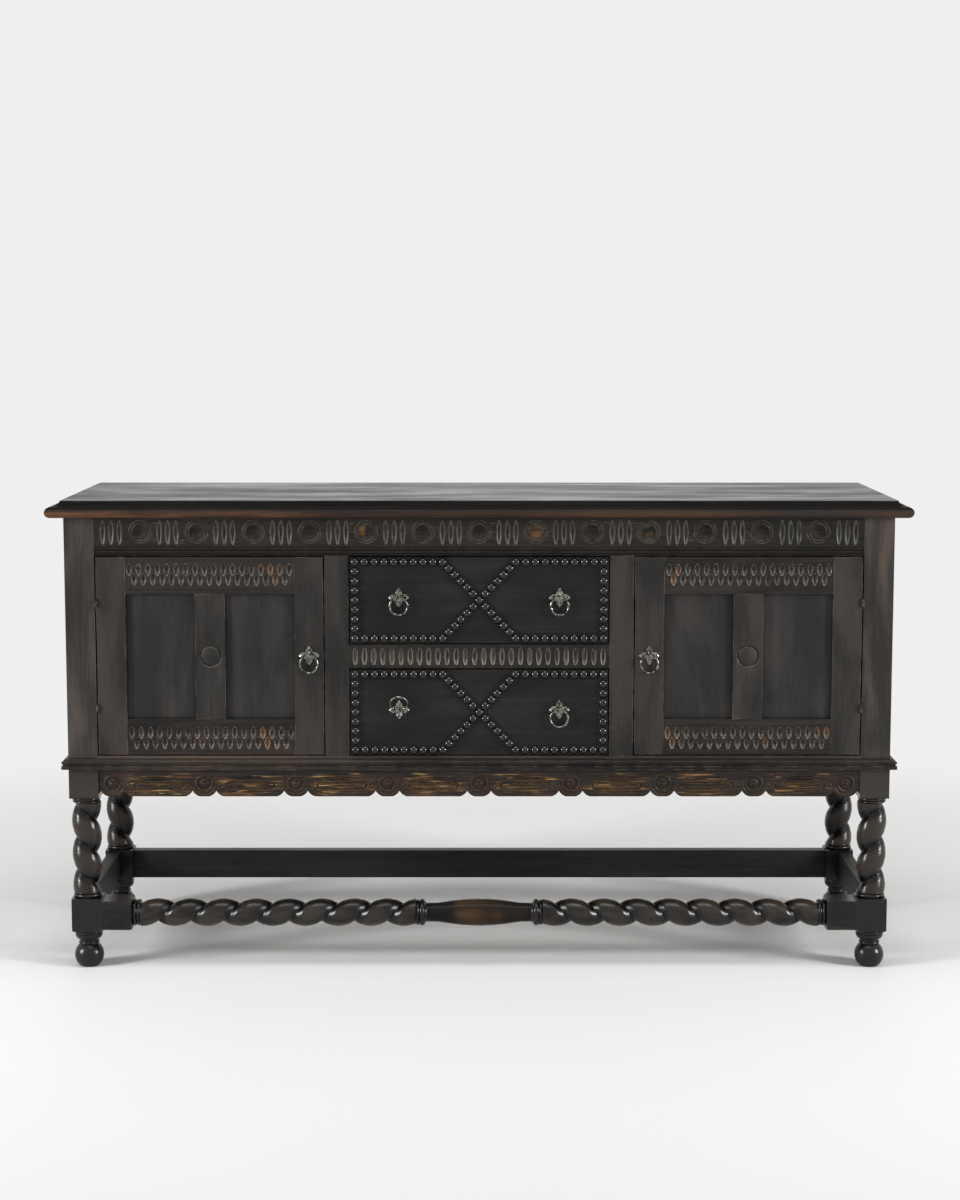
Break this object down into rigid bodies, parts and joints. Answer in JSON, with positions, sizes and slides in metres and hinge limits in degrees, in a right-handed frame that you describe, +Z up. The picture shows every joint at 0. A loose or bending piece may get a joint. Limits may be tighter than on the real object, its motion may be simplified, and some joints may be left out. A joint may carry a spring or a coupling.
{
  "type": "buffet cabinet",
  "caption": "Wide carved oak buffet sideboard on twist-turned legs and stretchers, with panelled cupboard doors beside stacked beaded drawers and hanging ring pulls.",
  "frame": {"origin": "on the floor, under the middle of the cabinet's overall box", "axes": "+X to the right across the front, +Y from the front to the back, +Z up"},
  "size_m": [1.647, 0.505, 0.915],
  "materials": {
    "dark_oak": "ebonised oak with a worn satin polish",
    "plain_oak": "unpolished oak inside and behind",
    "aged_brass": "dull aged brass",
    "hinge_steel": "worn grey steel"
  },
  "bodies": {
    "carcass": {"back_panel": "plain_oak", "base_moulding": "dark_oak", "bottom_board": "plain_oak", "bottom_rail": "dark_oak", "door_stops": "plain_oak", "drawer_divider_rail": "dark_oak", "drawer_runners": "plain_oak", "floor_battens": "plain_oak", "frieze_rail": "dark_oak", "front_apron": "dark_oak", "front_stretcher": "dark_oak", "hinge_pins": "hinge_steel", "hinge_post_leaves": "hinge_steel", "inner_stiles": "dark_oak", "leg_front_left": "dark_oak", "leg_front_right": "dark_oak", "leg_rear_left": "dark_oak", "leg_rear_right": "dark_oak", "partitions": "plain_oak", "rear_rails": "dark_oak", "rear_stretcher": "dark_oak", "side_panels": "dark_oak", "side_rails": "dark_oak", "side_stretchers": "dark_oak", "top_board": "dark_oak"},
    "left_door": {"left_door_hinge_leaves": "hinge_steel", "left_door_muntin": "dark_oak", "left_door_panels": "dark_oak", "left_door_pull_bolt": "aged_brass", "left_door_pull_plate": "aged_brass", "left_door_rails": "dark_oak", "left_door_stiles": "dark_oak"},
    "right_door": {"right_door_hinge_leaves": "hinge_steel", "right_door_muntin": "dark_oak", "right_door_panels": "dark_oak", "right_door_pull_bolt": "aged_brass", "right_door_pull_plate": "aged_brass", "right_door_rails": "dark_oak", "right_door_stiles": "dark_oak"},
    "upper_drawer": {"upper_drawer_back": "plain_oak", "upper_drawer_beading": "dark_oak", "upper_drawer_bottom": "plain_oak", "upper_drawer_front": "dark_oak", "upper_drawer_pull_bolts": "aged_brass", "upper_drawer_pull_plates": "aged_brass", "upper_drawer_sides": "plain_oak"},
    "lower_drawer": {"lower_drawer_back": "plain_oak", "lower_drawer_beading": "dark_oak", "lower_drawer_bottom": "plain_oak", "lower_drawer_front": "dark_oak", "lower_drawer_pull_bolts": "aged_brass", "lower_drawer_pull_plates": "aged_brass", "lower_drawer_sides": "plain_oak"},
    "left_door_ring": {"left_door_pull_ring": "aged_brass"},
    "lower_drawer_left_ring": {"lower_drawer_left_pull_ring": "aged_brass"},
    "lower_drawer_right_ring": {"lower_drawer_right_pull_ring": "aged_brass"},
    "right_door_ring": {"right_door_pull_ring": "aged_brass"},
    "upper_drawer_left_ring": {"upper_drawer_left_pull_ring": "aged_brass"},
    "upper_drawer_right_ring": {"upper_drawer_right_pull_ring": "aged_brass"}
  },
  "joints": [
    {"name": "left_door_hinge", "type": "hinge", "parent": "carcass", "child": "left_door", "pos_m": [-0.7342, -0.2235, 0.615], "axis": [0, 0, -1], "range_deg": [0, 170]},
    {"name": "right_door_hinge", "type": "hinge", "parent": "carcass", "child": "right_door", "pos_m": [0.7342, -0.2235, 0.615], "axis": [0, 0, 1], "range_deg": [0, 170]},
    {"name": "upper_drawer_slide", "type": "slide", "parent": "carcass", "child": "upper_drawer", "axis": [0, -1, 0], "range_m": [0, 0.3]},
    {"name": "lower_drawer_slide", "type": "slide", "parent": "carcass", "child": "lower_drawer", "axis": [0, -1, 0], "range_m": [0, 0.3]},
    {"name": "left_door_ring_pivot", "type": "hinge", "parent": "left_door", "child": "left_door_ring", "pos_m": [-0.32635, -0.2291, 0.617], "axis": [-1, 0, 0], "range_deg": [0, 160]},
    {"name": "right_door_ring_pivot", "type": "hinge", "parent": "right_door", "child": "right_door_ring", "pos_m": [0.32635, -0.2291, 0.617], "axis": [-1, 0, 0], "range_deg": [0, 160]},
    {"name": "upper_drawer_left_ring_pivot", "type": "hinge", "parent": "upper_drawer", "child": "upper_drawer_left_ring", "pos_m": [-0.154, -0.2291, 0.729], "axis": [-1, 0, 0], "range_deg": [0, 160]},
    {"name": "upper_drawer_right_ring_pivot", "type": "hinge", "parent": "upper_drawer", "child": "upper_drawer_right_ring", "pos_m": [0.154, -0.2291, 0.729], "axis": [-1, 0, 0], "range_deg": [0, 160]},
    {"name": "lower_drawer_left_ring_pivot", "type": "hinge", "parent": "lower_drawer", "child": "lower_drawer_left_ring", "pos_m": [-0.154, -0.2291, 0.512], "axis": [-1, 0, 0], "range_deg": [-147, 13]},
    {"name": "lower_drawer_right_ring_pivot", "type": "hinge", "parent": "lower_drawer", "child": "lower_drawer_right_ring", "pos_m": [0.154, -0.2291, 0.512], "axis": [-1, 0, 0], "range_deg": [0, 160]}
  ]
}
